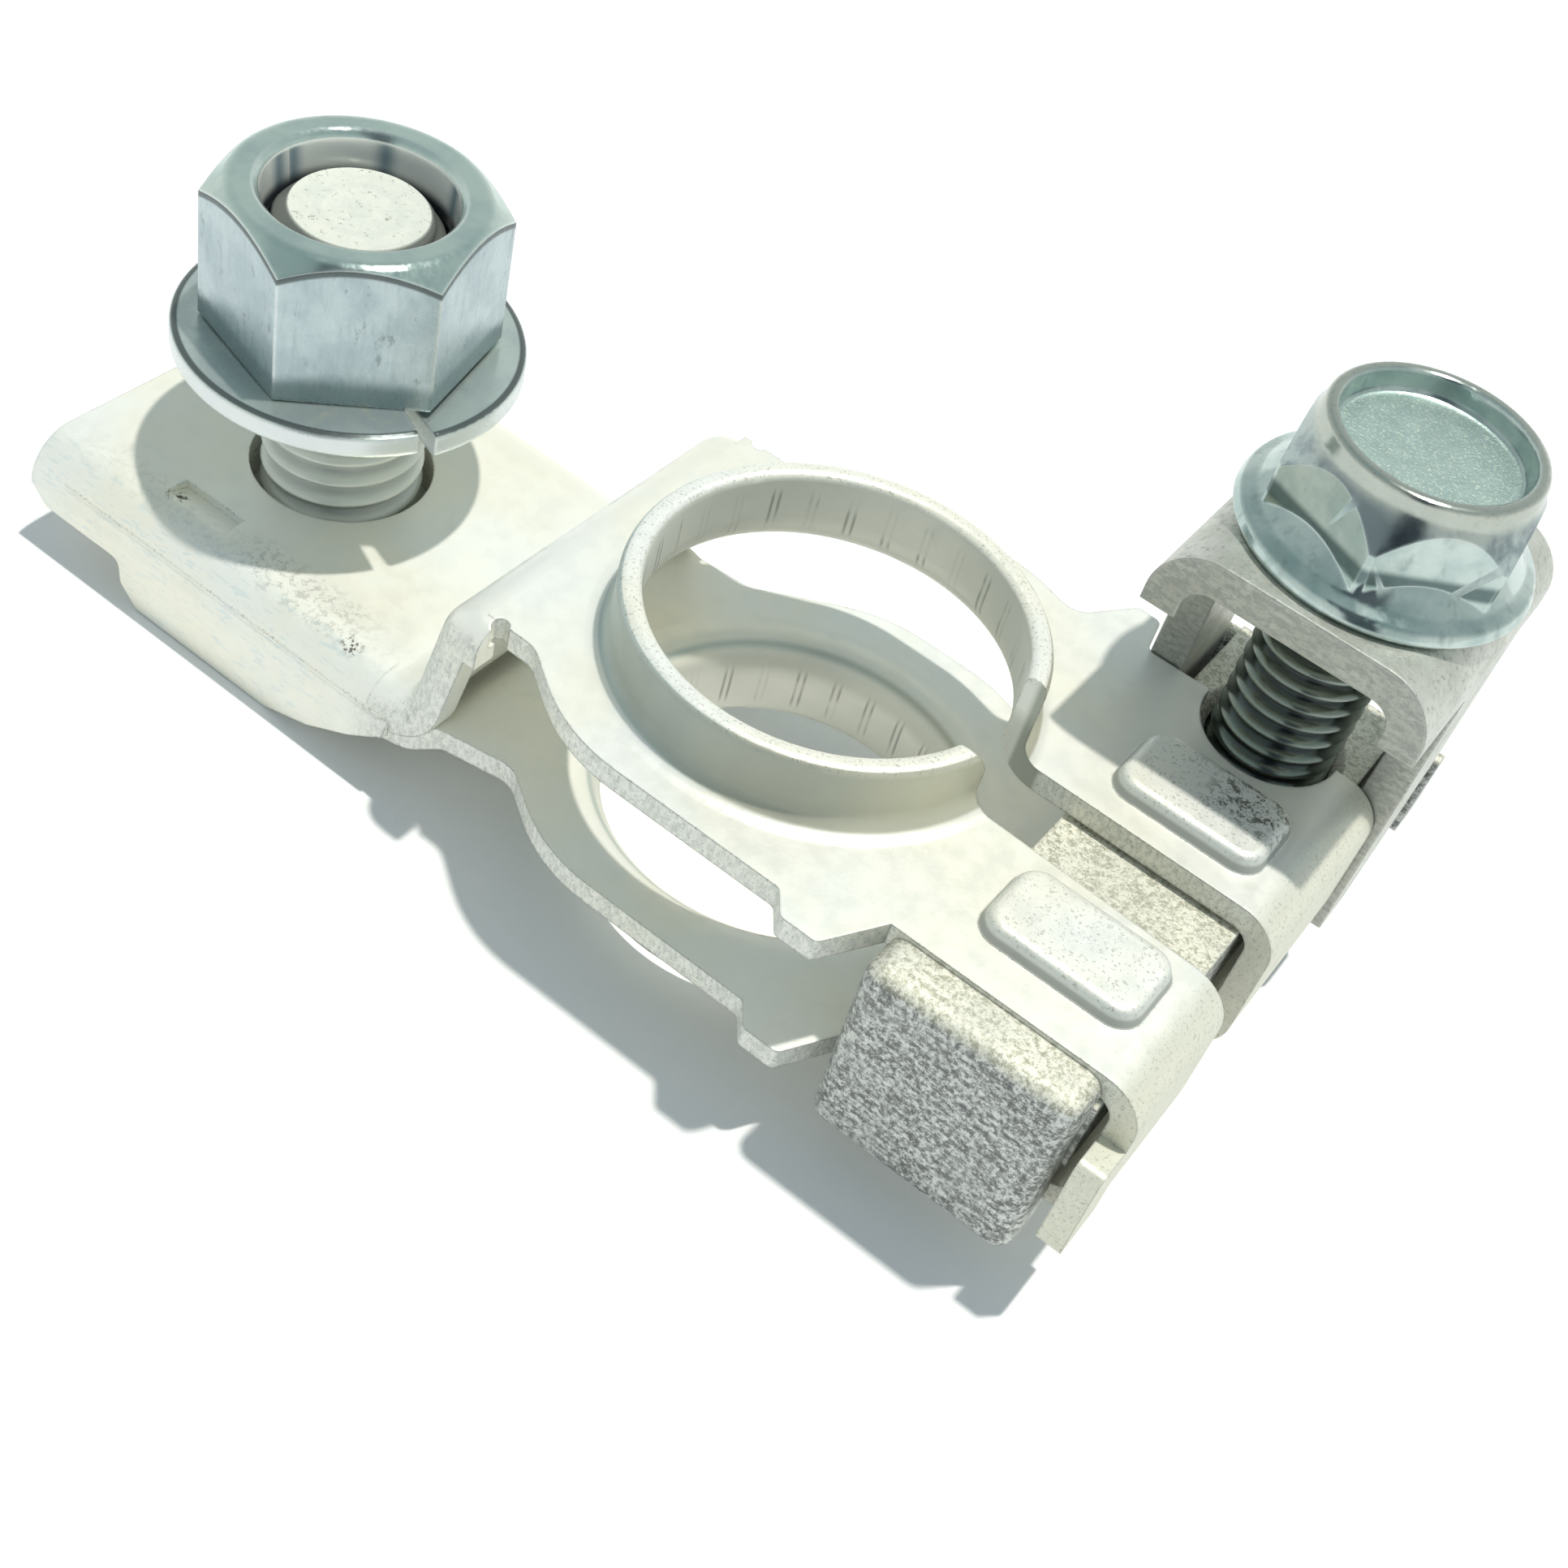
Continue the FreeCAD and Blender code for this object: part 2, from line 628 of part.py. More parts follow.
def export():
    os.makedirs("parts", exist_ok=True)
    nodes = {"terminal_body": terminal_body, "stud_bolt": stud_bolt, "stud_nut": stud_nut,
             "stud_washer": stud_washer, "plate_nut": plate_nut, "bracket": bracket,
             "clamp_bolt": clamp_bolt}
    for name, make in nodes.items():
        shape = make()
        shape.exportStep("parts/" + name + ".step")
        print(name, "solids", len(shape.Solids), "valid", shape.isValid(), "volume", round(shape.Volume, 1))


export()
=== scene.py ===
import json
import math
import bmesh
import bpy
from mathutils import Matrix, Vector

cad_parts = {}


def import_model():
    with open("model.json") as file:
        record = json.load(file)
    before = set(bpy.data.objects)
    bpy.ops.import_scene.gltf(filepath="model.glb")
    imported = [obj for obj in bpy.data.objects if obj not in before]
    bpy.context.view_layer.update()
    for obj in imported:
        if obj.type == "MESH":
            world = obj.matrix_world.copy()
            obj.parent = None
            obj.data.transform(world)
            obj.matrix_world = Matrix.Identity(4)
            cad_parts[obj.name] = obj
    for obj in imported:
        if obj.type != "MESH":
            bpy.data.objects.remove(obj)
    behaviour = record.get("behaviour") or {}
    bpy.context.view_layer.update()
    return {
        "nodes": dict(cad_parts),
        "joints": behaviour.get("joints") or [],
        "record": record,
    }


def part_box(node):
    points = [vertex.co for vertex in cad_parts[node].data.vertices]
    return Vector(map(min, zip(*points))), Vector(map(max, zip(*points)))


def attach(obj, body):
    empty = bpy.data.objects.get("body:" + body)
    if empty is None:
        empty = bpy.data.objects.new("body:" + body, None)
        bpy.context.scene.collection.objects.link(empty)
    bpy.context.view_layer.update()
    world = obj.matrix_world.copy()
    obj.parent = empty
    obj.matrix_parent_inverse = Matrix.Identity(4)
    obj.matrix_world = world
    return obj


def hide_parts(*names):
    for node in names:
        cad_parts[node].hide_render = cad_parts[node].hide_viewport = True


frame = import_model()
nodes = frame["nodes"]

MM = 0.001


def joint_place(name):
    """Point on a joint's axis, in millimetres."""
    joint = [joint for joint in frame["joints"] if joint["name"] == name][0]
    return [value / MM for value in joint["pos_m"]]


def lowest(node, axis):
    """Lowest coordinate of a node along an axis, in millimetres."""
    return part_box(node)[0][axis] / MM


def highest(node, axis):
    """Highest coordinate of a node along an axis, in millimetres."""
    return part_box(node)[1][axis] / MM


# Places and sizes from the joints, the mounts and the nodes' boxes, in millimetres
STUD = joint_place("nut_turn")[:2]
BOLT = joint_place("bolt_turn")[:2]
BOLT_SEAT = joint_place("bolt_turn")[2]
BOLT_TIP = lowest("clamp_bolt", 2)
BOLT_TOP = highest("clamp_bolt", 2)
STUD_TOP = highest("stud_bolt", 2)
NUT_TOP = highest("stud_nut", 2)
NUT_LOW = highest("stud_washer", 2)
WASHER_RADIUS = (highest("stud_washer", 1) - lowest("stud_washer", 1)) / 2
COLLAR_TOP = highest("terminal_body", 2)
ARM_END = highest("terminal_body", 0)
STUD_PLATE = frame["record"]["mounts"][1]["pos_m"][2] / MM
BORE = frame["record"]["mounts"][0]["dims"]["r_mm"]
FLOOR = lowest("terminal_body", 2) - 0.05

# Sizes and heights that the frame doesn't show, in millimetres
STUD_RADIUS = 3.95
STUD_CHAMFER = 0.85
STUD_FOOT = -10.0
BOLT_RADIUS = 2.95
BOLT_CHAMFER = 0.8
COLLAR_FOOT = BORE + 2.05
LOWER_RIM = -12.0
PAD_TOP = 0.8
CREST = -12.4
STUD_PITCH = 1.25
STUD_DEPTH = 0.62
BOLT_PITCH = 1.0
BOLT_DEPTH = 0.52
CUP_RADIUS = 4.0
NUT_FACE = 5.75
NUT_RECESS = 4.8
STEP_FOOT = -18.0
PADS_FROM = 11.0

# Marks on the tin: spans along x and y, along y and along z, two spots, and the turn between two ticks
SCRAPED = ((-26.5, -19.0), (-9.0, -6.6))
FAINTLY_SCRAPED = ((-37.0, -16.5), (-10.6, -7.0))
WORN_PAD = ((16.3, 20.3), (5.0, 8.0))
FRONT_BEND = (-11.0, -8.4)
UPPER_TICKS = (0.2, 2.3)
LOWER_TICKS = (-11.1, -9.0)
DIRT_SPOT = (-18.9, -8.6)
RECESS_SPOT = (-31.2, -7.5)
TICK_TURN = math.radians(12.5)

# Fall of the nut's chamfer over its reach, and turn between two glints in its recess
NUT_SLOPE = math.tan(math.radians(40.0))
GLINT_TURN = math.radians(58.0)

# Fall of a bolt's chamfered end, in depths of its thread
TIP_FALL = 1.3

# Points round a thread and round its end face
AROUND = 56

# Thread section: share of the pitch, and height as a share of the depth
PROFILE = [(0.0, 0.0), (0.125, 0.0), (0.25, 0.06), (0.40, 0.52), (0.55, 0.96),
           (0.625, 1.0), (0.70, 0.96), (0.85, 0.52)]

# Light: the sky as light and as metal reflects it, the lamp, and the dark screen's level directions
WHITE = (1.0, 1.0, 1.0, 1.0)
SKY_COLOUR = (0.76, 0.91, 1.0, 1.0)
SKY_STRENGTH = 0.46
HORIZON_COLOUR = (0.78, 0.82, 0.80, 1.0)
OVERHEAD_COLOUR = (0.28, 0.37, 0.38, 1.0)
SUN_COLOUR = (1.0, 0.985, 0.93)
SUN_STRENGTH = 2.4
SUN_WIDTH = math.radians(2.0)
SUN_FROM = (0.139, 0.147, 0.979)
SCREEN_AHEAD = (0.403, -0.915, 0.0)
SCREEN_ACROSS = (0.915, 0.403, 0.0)
SCREEN_COLOUR = (0.05, 0.07, 0.09, 1.0)

# Camera: place in millimetres, lens in millimetres on a 36 mm sensor, and turn
EYE = (26.6632, -60.7795, 61.8838)
LENS = 48.238
SENSOR = 36.0
EYE_TURN = ((0.7863933, -0.5521848, 0.2769070),
            (0.5823623, 0.5132176, -0.6304457),
            (0.2060090, 0.6570385, 0.7251625))


# Node helpers

class Tree:
    """Short calls for building one material's nodes. Positions are in millimetres in the part's frame."""

    def __init__(self, name):
        self.material = bpy.data.materials.new(name)
        self.material.use_nodes = True
        self.tree = self.material.node_tree
        self.bsdf = self.tree.nodes["Principled BSDF"]
        coords = self.add("ShaderNodeTexCoord")
        scale = self.add("ShaderNodeVectorMath", operation="SCALE")
        scale.inputs["Scale"].default_value = 1.0 / MM
        self.link(coords.outputs["Object"], scale.inputs[0])
        self.mm = scale.outputs[0]
        self.geometry = self.add("ShaderNodeNewGeometry")
        split = self.add("ShaderNodeSeparateXYZ")
        self.link(self.mm, split.inputs[0])
        self.x, self.y, self.z = split.outputs
        face = self.add("ShaderNodeSeparateXYZ")
        self.link(self.geometry.outputs["Normal"], face.inputs[0])
        self.nx, self.ny, self.nz = face.outputs

    def add(self, kind, **settings):
        node = self.tree.nodes.new(kind)
        for key, value in settings.items():
            setattr(node, key, value)
        return node

    def link(self, a, b):
        self.tree.links.new(a, b)

    def put(self, socket, value):
        if isinstance(value, bpy.types.NodeSocket):
            self.link(value, socket)
        else:
            socket.default_value = value

    def math(self, operation, a, b=0.0):
        node = self.add("ShaderNodeMath", operation=operation)
        for socket, value in zip(node.inputs, (a, b)):
            self.put(socket, value)
        return node.outputs[0]

    def noise(self, scale, detail, rough, stretch=(1, 1, 1), shift=0.0):
        vector = self.mm
        if stretch != (1, 1, 1) or shift:
            mapping = self.add("ShaderNodeMapping")
            mapping.inputs["Scale"].default_value = stretch
            mapping.inputs["Location"].default_value = (shift, shift * 0.7, shift * 1.3)
            self.link(vector, mapping.inputs["Vector"])
            vector = mapping.outputs[0]
        node = self.add("ShaderNodeTexNoise")
        node.inputs["Scale"].default_value = scale
        node.inputs["Detail"].default_value = detail
        node.inputs["Roughness"].default_value = rough
        self.link(vector, node.inputs["Vector"])
        return node.outputs["Fac"]

    def step(self, value, low, high, start=0.0, end=1.0):
        """Smooth change from start to end while the value goes from low to high."""
        node = self.add("ShaderNodeMapRange", interpolation_type="SMOOTHSTEP")
        for socket, number in zip(node.inputs[:5], (value, low, high, start, end)):
            self.put(socket, number)
        return node.outputs[0]

    def times(self, *values):
        result = values[0]
        for value in values[1:]:
            result = self.math("MULTIPLY", result, value)
        return result

    def most(self, *values):
        result = values[0]
        for value in values[1:]:
            result = self.math("MAXIMUM", result, value)
        return result

    def band(self, value, low, high, soft=0.2):
        """1 between low and high, falling to 0 outside."""
        rise = self.step(value, low - soft, low + soft)
        fall = self.step(value, high - soft, high + soft, 1.0, 0.0)
        return self.times(rise, fall)

    def patch(self, spans, soft_x, soft_y):
        """1 inside one span along x and one along y, falling to 0 outside."""
        return self.times(self.band(self.x, *spans[0], soft_x), self.band(self.y, *spans[1], soft_y))

    def distance(self, x, y):
        """Distance from an upright axis."""
        dx = self.math("SUBTRACT", self.x, x)
        dy = self.math("SUBTRACT", self.y, y)
        return self.math("SQRT", self.math("ADD", self.times(dx, dx), self.times(dy, dy)))

    def mix(self, factor, a, b):
        node = self.add("ShaderNodeMix", data_type="RGBA")
        self.put(node.inputs[0], factor)
        for socket, value in zip((node.inputs[6], node.inputs[7]), (a, b)):
            if not isinstance(value, bpy.types.NodeSocket) and len(value) == 3:
                value = (*value, 1.0)
            self.put(socket, value)
        return node.outputs[2]

    def edge(self, radius):
        """Edges: how far a rounded normal departs from the face's own. It places pits and lighter edges,
        and the painted edge highlights and dark lines of the zinc parts.
        """
        self.rounded = self.add("ShaderNodeBevel", samples=4)
        self.rounded.inputs["Radius"].default_value = radius * MM
        lean = self.add("ShaderNodeSeparateXYZ")
        self.link(self.rounded.outputs[0], lean.inputs[0])
        self.lean = lean.outputs[2]
        dot = self.add("ShaderNodeVectorMath", operation="DOT_PRODUCT")
        self.link(self.rounded.outputs[0], dot.inputs[0])
        self.link(self.geometry.outputs["Normal"], dot.inputs[1])
        return self.step(dot.outputs["Value"], 0.998, 0.95)

    def finish(self, colour, roughness, heights, metallic):
        """heights is a list of (height socket, strength, distance in mm)."""
        self.link(colour, self.bsdf.inputs["Base Color"])
        self.put(self.bsdf.inputs["Roughness"], roughness)
        self.put(self.bsdf.inputs["Metallic"], metallic)
        normal = self.rounded.outputs[0]
        for height, strength, distance in heights:
            bump = self.add("ShaderNodeBump")
            bump.inputs["Strength"].default_value = strength
            bump.inputs["Distance"].default_value = distance * MM
            self.link(height, bump.inputs["Height"])
            self.link(normal, bump.inputs["Normal"])
            normal = bump.outputs[0]
        self.link(normal, self.bsdf.inputs["Normal"])
        return self.material


# Materials

def tin_plate():
    """Bright tin plating on sheet: cream and mottled, specked at the rims, sheared at the cut faces, with
    painted shade on the collar walls, the crest, the end walls and the pads.
    """
    t = Tree("tin_plate")
    cloud = t.noise(0.9, 5.0, 0.6)
    fine = t.noise(5.0, 4.0, 0.65)
    grain = t.noise(6.5, 3.0, 0.7, shift=3.0)
    sheared = t.noise(3.0, 4.0, 0.7, stretch=(1.6, 1.6, 0.7))
    edge = t.edge(0.14)
    radius = t.distance(0.0, 0.0)
    turned = t.step(radius, COLLAR_FOOT + 0.2, COLLAR_FOOT - 0.1)
    side = t.step(t.math("ABSOLUTE", t.nz), 0.75, 0.3)
    raised = t.times(t.step(t.x, PADS_FROM, PADS_FROM + 1.0), t.step(t.z, 0.02, 0.1))
    cut = cut_faces(t, side, turned, raised)
    walls = t.step(t.x, ARM_END - 2.2, ARM_END - 0.7, 0.0, 0.75)
    rim = t.times(collar_rims(t), turned)
    colour = mottled_cream(t, cloud)
    # Painted shade and painted reflection tints on the collar walls
    colour = collar_painted_shade(t, colour, radius, turned, side)
    # Painted shade along the crest's outer slope
    colour = t.mix(t.times(crest_painted_shade(t), 0.7), colour, (0.42, 0.43, 0.37))
    colour = sheared_grey(t, colour, cut, sheared, edge)
    # Painted shade on the arms' end walls
    colour = t.mix(walls, colour, (0.76, 0.74, 0.60))
    # Painted shade on the pads' flanks and foot
    colour = pad_painted_shade(t, colour, raised)
    colour = t.mix(t.times(rim, edge, t.step(grain, 0.40, 0.50), 0.6), colour, (0.30, 0.30, 0.27))
    specks = dark_specks(t, grain, rim, edge, cut, walls)
    colour = t.mix(specks, colour, (0.15, 0.15, 0.12))
    colour = bend_scratches(t, colour)
    dark_marks = t.times(dark_mark_places(t), t.step(t.noise(2.6, 5.0, 0.8, shift=9.0), 0.50, 0.58))
    colour = t.mix(dark_marks, colour, (0.10, 0.09, 0.06))
    ticks = grip_ticks(t, radius)
    colour = t.mix(t.times(ticks, 0.75), colour, (0.30, 0.30, 0.26))
    rough = t.math("ADD", t.step(cloud, 0.3, 0.7, 0.34, 0.48), t.times(side, 0.05))
    heights = [(fine, 0.25, 0.03), (t.times(sheared, cut), 0.4, 0.06), (specks, -0.6, 0.05),
               (ticks, -0.7, 0.12)]
    return t.finish(colour, rough, heights, 0.35)


def cut_faces(t, side, turned, raised):
    """Sheared faces of the sheet, without the collars, the pads and the stud plate."""
    plain = t.math("SUBTRACT", 1.0, t.most(turned, raised))
    ends = t.most(t.step(t.math("ABSOLUTE", t.ny), 0.15, 0.4), t.step(t.x, -8.0, -6.0))
    return t.times(side, plain, ends, t.step(t.x, STEP_FOOT, STEP_FOOT + 3.0))


def collar_rims(t):
    """Free ends of both collars."""
    upper = t.step(t.z, COLLAR_TOP - 0.35, COLLAR_TOP - 0.1)
    lower = t.step(t.z, LOWER_RIM + 0.3, LOWER_RIM + 0.05)
    return t.most(upper, lower)


def mottled_cream(t, cloud):
    """Base colour of the plating, warmer and cooler in broad patches."""
    broad = t.noise(0.11, 3.0, 0.5)
    colour = t.mix(t.step(broad, 0.35, 0.65), (0.97, 0.97, 0.91), (0.99, 0.955, 0.82))
    return t.mix(t.step(cloud, 0.48, 0.78, 0.0, 0.28), colour, (0.82, 0.86, 0.81))


def collar_painted_shade(t, colour, radius, turned, side):
    """Painted shade on the collars' walls: outside a painted reflection tint, bluish to the left and
    brownish to the right, darkest on faces turned to the front; greyer inside.
    """
    outside = t.times(turned, t.step(radius, BORE + 0.4, BORE + 0.8), t.step(t.nz, 0.86, 0.74))
    shade = t.mix(t.step(t.x, -3.0, 3.0), (0.55, 0.62, 0.57), (0.58, 0.57, 0.45))
    shade = t.mix(t.times(t.step(t.ny, -0.5, -0.95), 0.8), shade, (0.36, 0.38, 0.33))
    colour = t.mix(outside, colour, shade)
    inside = t.times(turned, side, t.math("SUBTRACT", 1.0, outside))
    return t.mix(inside, colour, (0.74, 0.74, 0.66))


def sheared_grey(t, colour, cut, sheared, edge):
    """Grey streaks on the cut faces, with a dark border on those in front."""
    colour = t.mix(t.times(cut, t.step(sheared, 0.40, 0.62, 0.3, 0.85)), colour, (0.62, 0.63, 0.57))
    border = t.times(cut, edge, t.step(t.ny, -0.2, -0.6))
    return t.mix(t.times(border, 0.6), colour, (0.16, 0.16, 0.14))


def pad_painted_shade(t, colour, raised):
    """Painted shade on the pads: greyer flanks, darkest at their foot."""
    colour = t.mix(t.times(raised, t.step(t.nz, 0.97, 0.6), 0.8), colour, (0.60, 0.63, 0.59))
    foot = t.times(raised, t.step(t.z, PAD_TOP - 0.3, PAD_TOP - 0.5), t.step(t.nz, 0.97, 0.7))
    return t.mix(t.times(foot, 0.75), colour, (0.30, 0.31, 0.29))


def dark_specks(t, grain, rim, edge, cut, walls):
    """Pits: thick at the rims, edges and cut faces, on the pads and the end walls, and rare elsewhere."""
    pads = t.times(t.step(t.x, PADS_FROM + 0.5, PADS_FROM + 3.5), t.step(t.z, PAD_TOP - 0.5, PAD_TOP - 0.1))
    specked = t.most(t.times(rim, 0.4), t.times(edge, 0.7), t.times(cut, 0.35), t.times(pads, 0.45),
                     t.times(walls, 0.45))
    return t.times(t.step(grain, 0.56, 0.64), t.math("ADD", t.times(specked, 0.97), 0.012))


def bend_scratches(t, colour):
    """Bluish and brownish scratches along the stud plate's front bend."""
    scratches = t.noise(4.0, 5.0, 0.75, stretch=(0.2, 1.0, 1.0), shift=15.0)
    bend = t.times(t.band(t.y, *FRONT_BEND, 0.7), t.step(t.x, STEP_FOOT + 2.0, STEP_FOOT - 1.0))
    colour = t.mix(t.times(bend, t.step(scratches, 0.53, 0.62), 0.45), colour, (0.64, 0.76, 0.78))
    return t.mix(t.times(bend, t.step(scratches, 0.38, 0.32), 0.4), colour, (0.68, 0.58, 0.44))


def crest_painted_shade(t):
    """Patchy painted shade along the outer side of the step's crest."""
    patchy = t.step(t.noise(0.8, 4.0, 0.7, shift=5.0), 0.46, 0.60, 0.1, 1.0)
    slope = t.times(t.band(t.x, CREST - 1.6, CREST - 0.7, 0.4), t.step(t.z, -3.0, -1.0))
    return t.times(slope, t.band(t.y, -9.5, 9.5, 1.0), patchy)


def dark_mark_places(t):
    """Dark scrapes along the stud plate's front, a dark spot there and another darker in the corner of its
    recess, and wear on the rear pad.
    """
    level = t.band(t.z, STUD_PLATE - 0.35, STUD_PLATE + 0.15, 0.1)
    strip = t.times(t.patch(SCRAPED, 1.5, 0.6), level)
    faint = t.times(t.patch(FAINTLY_SCRAPED, 2.5, 0.6), level)
    spot = t.times(t.step(t.distance(*DIRT_SPOT), 0.8, 0.25), level)
    # Darker in the corner of the recess below the plate's face
    corner = t.times(t.step(t.distance(*RECESS_SPOT), 0.7, 0.3), t.step(t.z, STUD_PLATE + 0.3, STUD_PLATE))
    pad = t.times(t.patch(WORN_PAD, 0.8, 0.7), t.step(t.z, 0.1, 0.4))
    return t.most(t.times(strip, 0.30), t.times(faint, 0.10), spot, corner, t.times(pad, 0.85))


def grip_ticks(t, radius):
    """Short upright marks in pairs round the inside of both collars."""
    wall = t.times(t.step(radius, BORE + 0.35, BORE + 0.15), t.step(t.math("ABSOLUTE", t.nz), 0.5, 0.3))
    turn = t.math("DIVIDE", t.math("ARCTAN2", t.y, t.x), TICK_TURN)
    share = t.math("FRACT", t.math("ADD", turn, 20.0))
    lines = t.most(t.band(share, 0.38, 0.45, 0.02), t.band(share, 0.56, 0.63, 0.02))
    reach = t.most(t.band(t.z, *UPPER_TICKS, 0.4), t.band(t.z, *LOWER_TICKS, 0.4))
    uneven = t.step(t.noise(0.35, 2.0, 0.5, shift=7.0), 0.42, 0.58, 0.15, 1.0)
    return t.times(wall, lines, reach, uneven)


def nut_zinc():
    """Blue passivated zinc of the nut: drawn flats, a crisp chamfer and a smooth recess, with painted shade
    on the flats, painted highlights and dark lines at the edges, and painted reflection and shade in the
    recess.
    """
    t = Tree("nut_zinc")
    cloud = t.noise(0.45, 4.0, 0.55)
    marks = t.noise(2.0, 5.0, 0.65, stretch=(1.8, 1.8, 0.35))
    blotch = t.noise(1.5, 5.0, 0.75, stretch=(1.0, 1.0, 0.45), shift=12.0)
    edge = t.edge(0.26)
    radius = t.distance(*STUD)
    side = t.step(t.math("ABSOLUTE", t.nz), 0.35, 0.15)
    inner = t.step(radius, NUT_RECESS + 0.05, NUT_RECESS - 0.05)
    flats = t.times(side, t.math("SUBTRACT", 1.0, inner))
    colour = t.mix(t.step(cloud, 0.35, 0.68), (0.64, 0.74, 0.69), (0.52, 0.63, 0.60))
    # The flats take a darker, bluer copy of the colour as painted shade
    colour = t.mix(flats, colour, t.mix(t.step(cloud, 0.35, 0.65), (0.53, 0.61, 0.63), (0.42, 0.50, 0.53)))
    colour = t.mix(t.times(flats, t.step(marks, 0.50, 0.75, 0.0, 0.4)), colour, (0.36, 0.42, 0.43))
    colour = t.mix(t.times(flats, t.step(blotch, 0.58, 0.68, 0.0, 0.6)), colour, (0.20, 0.24, 0.25))
    arc = t.math("SUBTRACT", NUT_TOP + NUT_FACE * NUT_SLOPE, t.times(radius, NUT_SLOPE))
    below = t.step(t.math("SUBTRACT", arc, t.z), 0.36, 0.20)
    lines = t.times(flats, t.most(below, t.times(edge, t.step(t.lean, 0.03, 0.15))))
    # Painted highlights on the edges, then painted dark lines under the chamfer's arcs on the flats
    colour = t.mix(t.times(edge, 0.6), colour, (0.94, 0.97, 0.95))
    colour = t.mix(t.times(lines, 0.9), colour, (0.10, 0.12, 0.12))
    # Painted shade at the foot of the flats
    base = t.times(flats, t.step(t.z, NUT_LOW + 1.5, NUT_LOW + 0.8), 0.75)
    colour = t.mix(base, colour, (0.24, 0.31, 0.32))
    # Painted reflection: the recess wall light beige, crossed by painted dark reflection bands
    wall = t.times(inner, t.step(t.math("ABSOLUTE", t.nz), 0.5, 0.3))
    colour = t.mix(wall, colour, (0.93, 0.94, 0.88))
    colour = t.mix(t.times(wall, recess_glints(t)), colour, (0.06, 0.17, 0.24))
    # Painted shade deep in the recess
    painted_recess_shade = t.times(inner, t.step(t.z, NUT_TOP - 1.5, NUT_TOP - 2.2))
    colour = t.mix(painted_recess_shade, colour, (0.04, 0.05, 0.06))
    rough = t.math("ADD", t.step(marks, 0.3, 0.7, 0.12, 0.24), t.times(flats, 0.12))
    metallic = t.math("SUBTRACT", 0.9, t.times(wall, 0.7))
    return t.finish(colour, rough, [(t.times(marks, flats), 0.12, 0.04)], metallic)


def recess_glints(t):
    """Upright bands of painted dark bluish reflection on the smooth wall of the nut's recess."""
    across = t.math("SUBTRACT", t.x, STUD[0])
    along = t.math("SUBTRACT", t.y, STUD[1])
    turn = t.math("DIVIDE", t.math("ARCTAN2", along, across), GLINT_TURN)
    share = t.math("FRACT", t.math("ADD", turn, 10.35))
    return t.times(t.band(share, 0.34, 0.46, 0.12), t.step(t.z, NUT_TOP - 0.3, NUT_TOP - 0.5))


def washer_zinc():
    """Zinc of the split washer, with a painted sheen on its rim, painted highlights on its edges and a
    painted dark line of shade along the top's outer edge.
    """
    t = Tree("washer_zinc")
    cloud = t.noise(0.4, 4.0, 0.6)
    fine = t.noise(4.0, 4.0, 0.65, shift=2.0)
    edge = t.edge(0.26)
    upper = t.step(t.nz, 0.55, 0.85)
    outline = t.step(t.distance(*STUD), WASHER_RADIUS - 0.42, WASHER_RADIUS - 0.30)
    colour = t.mix(t.step(cloud, 0.38, 0.66), (0.66, 0.73, 0.68), (0.54, 0.61, 0.60))
    colour = t.mix(t.step(cloud, 0.60, 0.75, 0.0, 0.7), colour, (0.74, 0.77, 0.62))
    colour = t.mix(t.step(fine, 0.64, 0.72, 0.0, 0.25), colour, (0.30, 0.34, 0.33))
    side = t.step(t.math("ABSOLUTE", t.nz), 0.5, 0.2)
    # Painted sheen on the rim, painted edge highlights, and a painted dark line along the top's outer edge
    colour = t.mix(t.times(side, 0.8), colour, (0.80, 0.82, 0.82))
    colour = t.mix(t.times(edge, 0.5), colour, (0.95, 0.97, 0.95))
    colour = t.mix(t.times(outline, upper, 0.9), colour, (0.10, 0.12, 0.12))
    rough = t.step(cloud, 0.3, 0.7, 0.18, 0.30)
    return t.finish(colour, rough, [(cloud, 0.10, 0.10)], 0.7)


